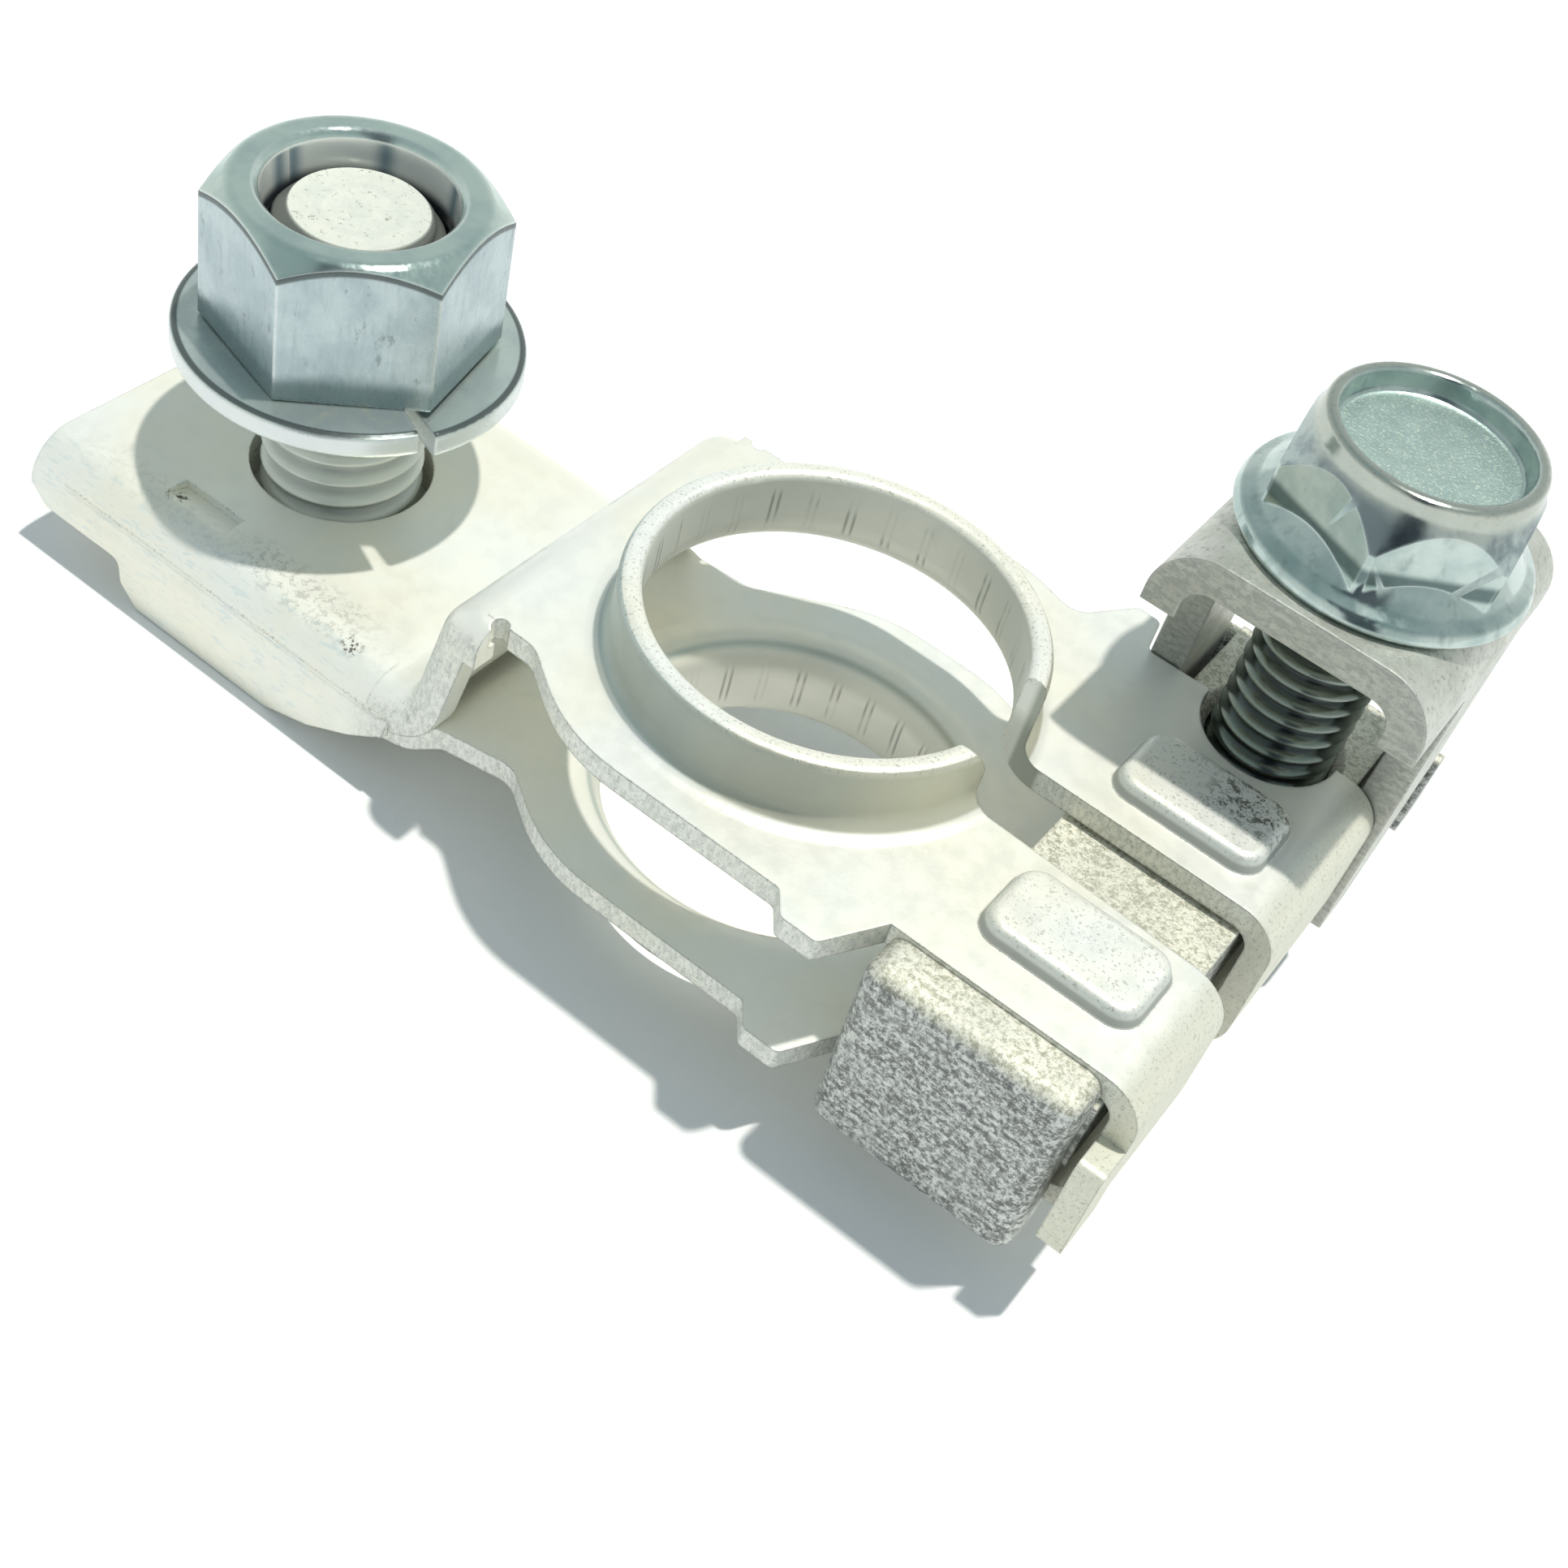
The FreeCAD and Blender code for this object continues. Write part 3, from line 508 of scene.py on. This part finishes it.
def bolt_zinc():
    """Zinc of the clamp bolt: a frosted floor in the cupped head, with painted dark reflection on the
    head's cone, painted shade at the flats' foot and on the thread below, and painted highlights on the
    edges.
    """
    t = Tree("bolt_zinc")
    cloud = t.noise(0.45, 4.0, 0.6)
    marks = t.noise(1.4, 4.0, 0.6, stretch=(1.0, 1.0, 0.5))
    frost = t.noise(7.0, 4.0, 0.75, shift=4.0)
    edge = t.edge(0.15)
    radius = t.distance(*BOLT)
    floor = t.times(t.step(radius, CUP_RADIUS, CUP_RADIUS - 0.15),
                    t.step(t.z, BOLT_TOP - 1.6, BOLT_TOP - 1.3),
                    t.step(t.nz, 0.7, 0.95))
    colour = t.mix(t.step(cloud, 0.35, 0.68), (0.62, 0.70, 0.67), (0.44, 0.54, 0.52))
    colour = t.mix(t.step(marks, 0.52, 0.75, 0.0, 0.5), colour, (0.28, 0.34, 0.33))
    colour = head_shade(t, colour, cloud, frost, radius)
    colour = t.mix(floor, colour, (0.46, 0.58, 0.55))
    colour = t.mix(t.times(floor, t.step(frost, 0.52, 0.64)), colour, (0.80, 0.85, 0.74))
    # Painted shade: dark crescents where the flats meet the flange
    foot = t.times(t.step(t.z, BOLT_SEAT + 2.6, BOLT_SEAT + 2.2), t.step(t.nz, 0.5, 0.2))
    foot = t.times(foot, t.step(t.z, BOLT_SEAT + 1.5, BOLT_SEAT + 1.8))
    colour = t.mix(t.times(foot, 0.9), colour, (0.10, 0.15, 0.15))
    # Painted shade on the thread, darkest in the grooves
    colour = thread_painted_shade(t, colour, radius)
    # Painted highlights on the edges
    colour = t.mix(t.times(edge, 0.2), colour, (0.93, 0.96, 0.94))
    rough = t.math("ADD", t.step(marks, 0.3, 0.7, 0.13, 0.22), satin_places(t, radius, floor))
    flange = t.times(t.step(t.z, BOLT_SEAT - 0.1, BOLT_SEAT), t.step(t.z, BOLT_SEAT + 2.3, BOLT_SEAT + 2.0))
    rough = t.math("SUBTRACT", rough, t.times(flange, 0.07))
    return t.finish(colour, rough, [(t.times(frost, floor), 0.5, 0.06)], 0.92)


def head_shade(t, colour, cloud, frost, radius):
    """Brownish rim of the bolt's head, with a patchy painted dark reflection on the cone below it."""
    rim = t.times(t.step(radius, CUP_RADIUS + 0.1, CUP_RADIUS + 0.3),
                  t.step(t.z, BOLT_TOP - 1.6, BOLT_TOP - 0.5))
    colour = t.mix(t.times(rim, 0.8), colour, (0.50, 0.51, 0.45))
    # Painted dark reflection, patchy, on the cone below the rim
    cone = t.times(t.band(t.nz, 0.25, 0.60, 0.1), t.band(t.z, BOLT_TOP - 3.2, BOLT_TOP - 0.9, 0.4))
    colour = t.mix(t.times(cone, t.step(cloud, 0.40, 0.60, 0.35, 0.9)), colour, (0.17, 0.21, 0.23))
    return t.mix(t.times(rim, t.step(frost, 0.58, 0.66, 0.0, 0.7)), colour, (0.30, 0.31, 0.28))


def thread_painted_shade(t, colour, radius):
    """Painted shade on the clamp bolt's thread: dark all over, darkest in its grooves."""
    thread = t.step(t.z, BOLT_SEAT, BOLT_SEAT - 0.2)
    groove = t.step(radius, BOLT_RADIUS - 0.05, BOLT_RADIUS - BOLT_DEPTH)
    colour = t.mix(thread, colour, (0.24, 0.28, 0.25))
    return t.mix(t.times(thread, groove), colour, (0.04, 0.05, 0.05))


def satin_places(t, radius, floor):
    """Extra roughness of the bolt's cup floor and of its flats."""
    flats = t.times(t.step(t.z, BOLT_SEAT + 1.6, BOLT_SEAT + 1.9),
                    t.step(radius, CUP_RADIUS + 0.3, CUP_RADIUS + 0.5),
                    t.step(t.math("ABSOLUTE", t.nz), 0.15, 0.05))
    return t.most(t.times(floor, 0.25), t.times(flats, 0.16))


def block_steel():
    """Coarse plated face of the plate nut, grainy and faintly drawn along its length."""
    t = Tree("block_steel")
    grain = t.noise(3.4, 5.0, 0.85)
    drawn = t.noise(2.6, 4.0, 0.7, stretch=(0.3, 1.0, 1.6), shift=6.0)
    cloud = t.noise(0.35, 3.0, 0.5)
    upper = t.step(t.nz, 0.3, 0.8)
    edge = t.edge(0.2)
    mixed = t.math("ADD", t.times(grain, 0.75), t.times(drawn, 0.25))
    front = t.mix(t.step(mixed, 0.43, 0.59), (0.15, 0.155, 0.15), (0.80, 0.81, 0.77))
    top = t.mix(t.step(grain, 0.40, 0.56), (0.46, 0.45, 0.33), (0.95, 0.92, 0.79))
    colour = t.mix(upper, front, top)
    colour = t.mix(t.step(cloud, 0.4, 0.7, 0.0, 0.25), colour, (0.50, 0.51, 0.48))
    colour = t.mix(t.times(edge, 0.25), colour, (0.9, 0.9, 0.86))
    rough = t.step(grain, 0.35, 0.7, 0.38, 0.60)
    return t.finish(colour, rough, [(mixed, 0.6, 0.10)], 0.5)


def bracket_zinc():
    """Rougher greyish zinc of the bracket, with sheared marks on its cut faces."""
    t = Tree("bracket_zinc")
    cloud = t.noise(0.5, 4.0, 0.6)
    fine = t.noise(3.8, 5.0, 0.7)
    sheared = t.noise(2.4, 4.0, 0.7, stretch=(0.8, 1.0, 1.8), shift=8.0)
    front = t.step(t.math("ABSOLUTE", t.ny), 0.6, 0.9)
    edge = t.edge(0.18)
    colour = t.mix(t.step(cloud, 0.35, 0.7), (0.70, 0.70, 0.64), (0.56, 0.56, 0.50))
    colour = t.mix(t.step(fine, 0.50, 0.68, 0.0, 0.6), colour, (0.40, 0.39, 0.34))
    colour = t.mix(t.times(front, t.step(sheared, 0.42, 0.60, 0.45, 0.9)), colour, (0.36, 0.37, 0.35))
    pits = t.times(t.step(fine, 0.60, 0.67), t.math("ADD", t.times(edge, 0.8), 0.18))
    colour = t.mix(pits, colour, (0.09, 0.09, 0.08))
    colour = t.mix(t.times(edge, 0.35), colour, (0.93, 0.93, 0.87))
    rough = t.step(fine, 0.3, 0.7, 0.34, 0.52)
    return t.finish(colour, rough, [(fine, 0.35, 0.06), (t.times(sheared, front), 0.3, 0.08)], 0.70)


def stud_tin():
    """Tin on the stud: cream, with faint rings in its end face, painted shade on its tip and round the end
    face's edge, and painted shade on the lower thread, darkest in its grooves.
    """
    t = Tree("stud_tin")
    edge = t.edge(0.12)
    cloud = t.noise(0.8, 5.0, 0.6)
    fine = t.noise(5.0, 3.0, 0.6)
    radius = t.distance(*STUD)
    ring = t.math("SINE", t.times(radius, 4.2))
    top = t.times(t.step(t.z, STUD_TOP - 0.3, STUD_TOP - 0.15), t.step(radius, 3.25, 3.1))
    colour = t.mix(t.step(cloud, 0.35, 0.7), (0.98, 0.96, 0.85), (0.90, 0.91, 0.81))
    colour = t.mix(t.times(top, t.step(ring, 0.2, 1.0, 0.0, 0.3)), colour, (0.78, 0.82, 0.73))
    specks = t.times(top, t.step(t.noise(3.0, 5.0, 0.8, shift=11.0), 0.58, 0.66))
    colour = t.mix(specks, colour, (0.40, 0.40, 0.30))
    # Painted shade on the stud's tip below the end face
    painted_tip_shade = t.times(t.step(t.z, STUD_TOP - 2.3, STUD_TOP - 1.6), t.math("SUBTRACT", 1.0, top))
    colour = t.mix(t.times(painted_tip_shade, 0.9), colour, (0.14, 0.15, 0.14))
    # Painted shade on the lower thread, darkest in its grooves
    below = t.step(t.z, STUD_TOP - 6.0, STUD_TOP - 6.4)
    groove = t.step(radius, STUD_RADIUS - 0.1, STUD_RADIUS - STUD_DEPTH)
    colour = t.mix(t.times(below, 0.45), colour, (0.62, 0.66, 0.62))
    colour = t.mix(t.times(below, groove, 0.6), colour, (0.30, 0.32, 0.30))
    # Painted dark line of shade round the end face's edge
    colour = t.mix(t.times(edge, top, 0.5), colour, (0.30, 0.30, 0.24))
    rough = t.step(fine, 0.3, 0.7, 0.34, 0.48)
    return t.finish(colour, rough, [(fine, 0.15, 0.03), (t.times(ring, top), 0.25, 0.04)], 0.4)


# Threaded shanks

def threaded(name, source, centre, radius, pitch, depth, low, high, chamfer, on_shank):
    """Copy of a CAD bolt whose plain shank is cut as a thread; crests stay on the shank's radius."""
    mesh = bmesh.new()
    mesh.from_mesh(source.data)
    bmesh.ops.remove_doubles(mesh, verts=mesh.verts, dist=1e-7)
    shank = [face for face in mesh.faces if on_shank(face)]
    bmesh.ops.delete(mesh, geom=shank, context="FACES")
    grid = thread_rows(mesh, centre, radius, pitch, depth, low, high, chamfer)
    skin_rows(mesh, grid)
    bmesh.ops.remove_doubles(mesh, verts=mesh.verts, dist=2e-7)
    loose = [vertex for vertex in mesh.verts if not vertex.link_faces]
    bmesh.ops.delete(mesh, geom=loose, context="VERTS")
    return new_piece(name, mesh)


def thread_rows(mesh, centre, radius, pitch, depth, low, high, chamfer):
    """Rows of points that each climb one pitch round the axis, held between the thread's two ends."""
    turns = int((high - low) / pitch + 2)
    grid = []
    for i in range((turns + 1) * len(PROFILE)):
        share, rise = PROFILE[i % len(PROFILE)]
        base = low + (i // len(PROFILE) - 1 + share) * pitch
        row = []
        for j in range(AROUND):
            z = min(max(base + pitch * j / AROUND, low), high)
            reach = thread_radius(z, radius, depth, rise, low, high, chamfer)
            row.append(mesh.verts.new(round_point(centre, reach, j, z)))
        grid.append(row)
    return grid


def thread_radius(z, radius, depth, rise, low, high, chamfer):
    """Radius of the thread at a height: cut back over the chamfer, and the shank's own at the other end."""
    first, last, full = chamfer
    cut = radius - depth * (1.0 - rise)
    if first <= z <= last:
        share = abs(z - full) / (last - first)
        return min(cut, radius - depth * TIP_FALL * share)
    if z in (low, high):
        return radius
    return cut


def round_point(centre, radius, number, z):
    """One of the points round an upright axis, in metres."""
    angle = 2 * math.pi * number / AROUND
    return Vector((centre[0] + radius * math.cos(angle), centre[1] + radius * math.sin(angle), z)) * MM


def skin_rows(mesh, grid):
    """Faces between the rows of a thread; a row's last face joins the first points of the next turn."""
    turn = len(PROFILE)
    rows = len(grid) - turn
    for i in range(rows):
        for j in range(AROUND):
            if j < AROUND - 1:
                quad = (grid[i][j], grid[i][j + 1], grid[i + 1][j + 1], grid[i + 1][j])
            else:
                after = min(i + 1 + turn, len(grid) - 1)
                quad = (grid[i][j], grid[i + turn][0], grid[after][0], grid[i + 1][j])
            if len(set(quad)) == 4:
                mesh.faces.new(quad).smooth = True


def end_cap(name, centre, radius, z, facing, dish):
    """Slightly dished round end face."""
    mesh = bmesh.new()
    rings = 5
    middle = mesh.verts.new(Vector((centre[0], centre[1], z - facing * dish)) * MM)
    last = None
    for ring in range(1, rings + 1):
        fall = dish * (1.0 - (ring / rings) ** 2)
        row = []
        for j in range(AROUND):
            row.append(mesh.verts.new(round_point(centre, radius * ring / rings, j, z - facing * fall)))
        for j in range(AROUND):
            k = (j + 1) % AROUND
            corners = (middle, row[j], row[k]) if last is None else (last[j], row[j], row[k], last[k])
            mesh.faces.new(corners if facing > 0 else corners[::-1]).smooth = True
        last = row
    return new_piece(name, mesh)


def new_piece(name, mesh):
    """New object in the scene from a mesh that isn't needed any more."""
    data = bpy.data.meshes.new(name)
    mesh.to_mesh(data)
    mesh.free()
    piece = bpy.data.objects.new(name, data)
    bpy.context.scene.collection.objects.link(piece)
    return piece


def dress(piece, material):
    """Gives a new piece its one material."""
    piece.data.materials.clear()
    piece.data.materials.append(material)


def shank_face(centre, radius, low, high):
    """Gives a test of whether a face lies on the plain shank between two heights."""
    def test(face):
        for vertex in face.verts:
            x, y, z = vertex.co / MM
            if math.hypot(x - centre[0], y - centre[1]) > radius + 0.02 or not low <= z <= high:
                return False
        return True
    return test


# Dressing of the nodes and the two threaded pieces

def dress_nodes():
    """Materials of the CAD nodes that stay in view."""
    materials = {"terminal_body": tin_plate(),
                 "plate_nut": block_steel(),
                 "bracket": bracket_zinc(),
                 "stud_nut": nut_zinc(),
                 "stud_washer": washer_zinc()}
    for name, material in materials.items():
        for slot in nodes[name].material_slots:
            slot.link = "OBJECT"
            slot.material = material


def clamp_bolt():
    """The clamp bolt with its thread, and the dished end of its tip."""
    chamfer = (BOLT_TIP, BOLT_TIP + BOLT_CHAMFER, BOLT_TIP + BOLT_CHAMFER)
    on_shank = shank_face(BOLT, BOLT_RADIUS, BOLT_TIP - 0.1, BOLT_SEAT + 0.01)
    bolt = threaded("clamp_bolt_threaded", nodes["clamp_bolt"], BOLT, BOLT_RADIUS, BOLT_PITCH, BOLT_DEPTH,
                    BOLT_TIP, BOLT_SEAT + 0.02, chamfer, on_shank)
    material = bolt_zinc()
    dress(bolt, material)
    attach(bolt, "bolt")
    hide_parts("clamp_bolt")
    tip = end_cap("clamp_bolt_tip", BOLT, BOLT_RADIUS - TIP_FALL * BOLT_DEPTH, BOLT_TIP, -1.0, 0.1)
    dress(tip, material)
    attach(tip, "bolt")


def stud():
    """The stud with its thread, and its dished end face."""
    chamfer = (STUD_TOP - STUD_CHAMFER, STUD_TOP, STUD_TOP - STUD_CHAMFER)
    on_shank = shank_face(STUD, STUD_RADIUS, STUD_FOOT - 0.02, STUD_TOP + 0.1)
    threads = threaded("stud_threaded", nodes["stud_bolt"], STUD, STUD_RADIUS, STUD_PITCH, STUD_DEPTH,
                       STUD_FOOT, STUD_TOP, chamfer, on_shank)
    material = stud_tin()
    dress(threads, material)
    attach(threads, "terminal")
    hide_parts("stud_bolt")
    end = end_cap("stud_end", STUD, STUD_RADIUS - TIP_FALL * STUD_DEPTH, STUD_TOP, 1.0, 0.12)
    dress(end, material)
    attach(end, "terminal")


# Floor, light and camera

def floor():
    """Pale floor just below the part, 4 m wide."""
    data = bpy.data.meshes.new("floor")
    half = 2.0
    z = FLOOR * MM
    corners = [(-half, -half, z), (half, -half, z), (half, half, z), (-half, half, z)]
    data.from_pydata(corners, [], [(0, 1, 2, 3)])
    plane = bpy.data.objects.new("floor", data)
    bpy.context.scene.collection.objects.link(plane)
    material = bpy.data.materials.new("floor_white")
    material.use_nodes = True
    bsdf = material.node_tree.nodes["Principled BSDF"]
    bsdf.inputs["Base Color"].default_value = (0.97, 0.965, 0.95, 1.0)
    bsdf.inputs["Roughness"].default_value = 0.9
    data.materials.append(material)


def world():
    """White for the camera, pale with a dark screen for reflections, soft and bluish as light."""
    sky = bpy.data.worlds.new("studio")
    bpy.context.scene.world = sky
    sky.use_nodes = True
    tree = sky.node_tree
    tree.nodes.clear()
    path = tree.nodes.new("ShaderNodeLightPath")
    plain = background(tree, WHITE, 1.0)
    light = background(tree, SKY_COLOUR, SKY_STRENGTH)
    reflected = background(tree, WHITE, 1.0)
    tree.links.new(studio_colour(tree), reflected.inputs["Color"])
    glossy = tree.nodes.new("ShaderNodeMixShader")
    tree.links.new(path.outputs["Is Glossy Ray"], glossy.inputs["Fac"])
    tree.links.new(light.outputs[0], glossy.inputs[1])
    tree.links.new(reflected.outputs[0], glossy.inputs[2])
    front = tree.nodes.new("ShaderNodeMixShader")
    tree.links.new(path.outputs["Is Camera Ray"], front.inputs["Fac"])
    tree.links.new(glossy.outputs[0], front.inputs[1])
    tree.links.new(plain.outputs[0], front.inputs[2])
    out = tree.nodes.new("ShaderNodeOutputWorld")
    tree.links.new(front.outputs[0], out.inputs["Surface"])


def background(tree, colour, strength):
    """Background node of one colour and strength."""
    node = tree.nodes.new("ShaderNodeBackground")
    node.inputs["Color"].default_value = colour
    node.inputs["Strength"].default_value = strength
    return node


def studio_colour(tree):
    """What metal reflects: pale near the horizon, darker overhead, with one dark screen."""
    coords = tree.nodes.new("ShaderNodeTexCoord")
    direction = coords.outputs["Generated"]
    split = tree.nodes.new("ShaderNodeSeparateXYZ")
    tree.links.new(direction, split.inputs[0])
    ramp = tree.nodes.new("ShaderNodeValToRGB")
    ramp.color_ramp.elements[0].position = 0.1
    ramp.color_ramp.elements[0].color = HORIZON_COLOUR
    ramp.color_ramp.elements[1].position = 0.9
    ramp.color_ramp.elements[1].color = OVERHEAD_COLOUR
    tree.links.new(split.outputs["Z"], ramp.inputs["Fac"])
    shade = tree.nodes.new("ShaderNodeMix")
    shade.data_type = "RGBA"
    colours = [socket for socket in shade.inputs if socket.type == "RGBA"]
    colours[1].default_value = SCREEN_COLOUR
    tree.links.new(screen_mask(tree, direction), shade.inputs[0])
    tree.links.new(ramp.outputs["Color"], colours[0])
    return [socket for socket in shade.outputs if socket.type == "RGBA"][0]


def screen_mask(tree, direction):
    """1 towards the dark screen, falling to 0 on both sides of it and above it."""
    off = tree.nodes.new("ShaderNodeMath")
    off.operation = "ABSOLUTE"
    tree.links.new(along(tree, direction, SCREEN_ACROSS), off.inputs[0])
    near = tree.nodes.new("ShaderNodeMapRange")
    near.inputs["From Min"].default_value = 0.1
    near.inputs["From Max"].default_value = 0.4
    tree.links.new(along(tree, direction, SCREEN_AHEAD), near.inputs["Value"])
    screen = tree.nodes.new("ShaderNodeMapRange")
    screen.inputs["From Min"].default_value = 0.26
    screen.inputs["From Max"].default_value = 0.16
    tree.links.new(off.outputs[0], screen.inputs["Value"])
    tree.links.new(near.outputs["Result"], screen.inputs["To Max"])
    return screen.outputs["Result"]


def along(tree, direction, axis):
    """How far a direction points along an axis."""
    node = tree.nodes.new("ShaderNodeVectorMath")
    node.operation = "DOT_PRODUCT"
    node.inputs[1].default_value = axis
    tree.links.new(direction, node.inputs[0])
    return node.outputs["Value"]


def sun():
    """High lamp with a slightly soft shadow."""
    data = bpy.data.lights.new("sun", "SUN")
    data.energy = SUN_STRENGTH
    data.angle = SUN_WIDTH
    data.color = SUN_COLOUR
    lamp = bpy.data.objects.new("sun", data)
    bpy.context.scene.collection.objects.link(lamp)
    lamp.rotation_euler = Vector(SUN_FROM).to_track_quat("Z", "Y").to_euler()


def camera():
    """Camera at the photograph's place and angle."""
    data = bpy.data.cameras.new("camera")
    data.sensor_width = SENSOR
    data.lens = LENS
    data.clip_start = 0.002
    data.clip_end = 20.0
    eye = bpy.data.objects.new("camera", data)
    bpy.context.scene.collection.objects.link(eye)
    eye.matrix_world = Matrix.Translation(Vector(EYE) * MM) @ Matrix(EYE_TURN).to_4x4()
    bpy.context.scene.camera = eye


dress_nodes()
clamp_bolt()
stud()
floor()
world()
sun()
camera()
bpy.context.scene.view_settings.view_transform = "Standard"
